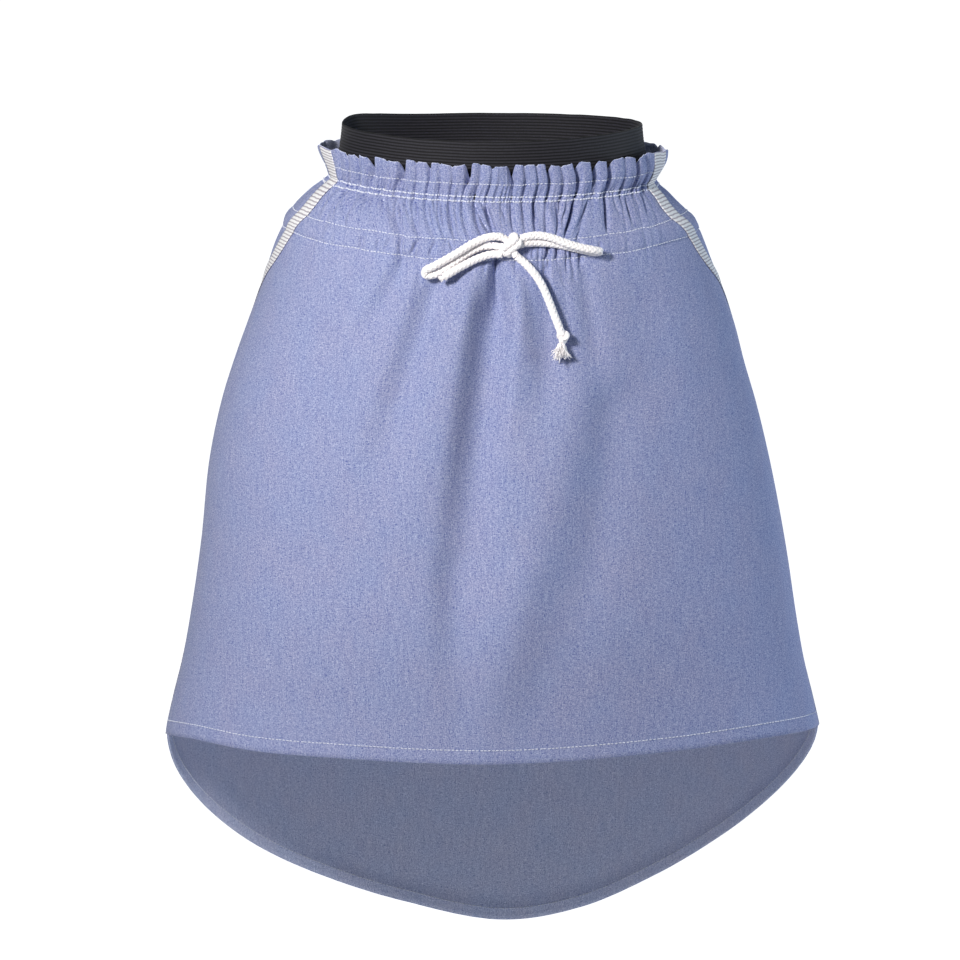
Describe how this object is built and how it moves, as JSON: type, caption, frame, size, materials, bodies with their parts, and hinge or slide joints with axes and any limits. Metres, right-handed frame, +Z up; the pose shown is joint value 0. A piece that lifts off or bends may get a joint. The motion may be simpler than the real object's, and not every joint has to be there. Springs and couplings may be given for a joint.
{
  "type": "denim skirt",
  "caption": "Hollow, filled-out knee-length denim skirt with a wide elastic waist, paper-bag frill, drawstring bow, striped side tapes and a hem that drops at the back.",
  "frame": {"origin": "centre of the waist elastic ring, about mid-height of the part of it that shows", "axes": "+Z up out of the waist, -Y to the front of the skirt, +X to the right of someone looking at the front"},
  "size_m": [0.5975, 0.3785, 0.7911],
  "materials": {
    "denim": "light blue chambray denim, matt plain weave",
    "elastic": "black ribbed woven elastic",
    "tape": "off-white tape with grey cross ribs",
    "cord": "off-white braided cotton cord"
  },
  "bodies": {
    "root": {"waist_elastic": "elastic", "front_panel": "denim", "back_panel": "denim", "side_tape_left": "tape", "side_tape_right": "tape", "bow_knot": "cord", "bow_loop_left": "cord", "bow_loop_right": "cord", "cord_end_left": "cord", "cord_end_right": "cord", "end_knot": "cord", "end_tuft": "cord"}
  },
  "joints": []
}
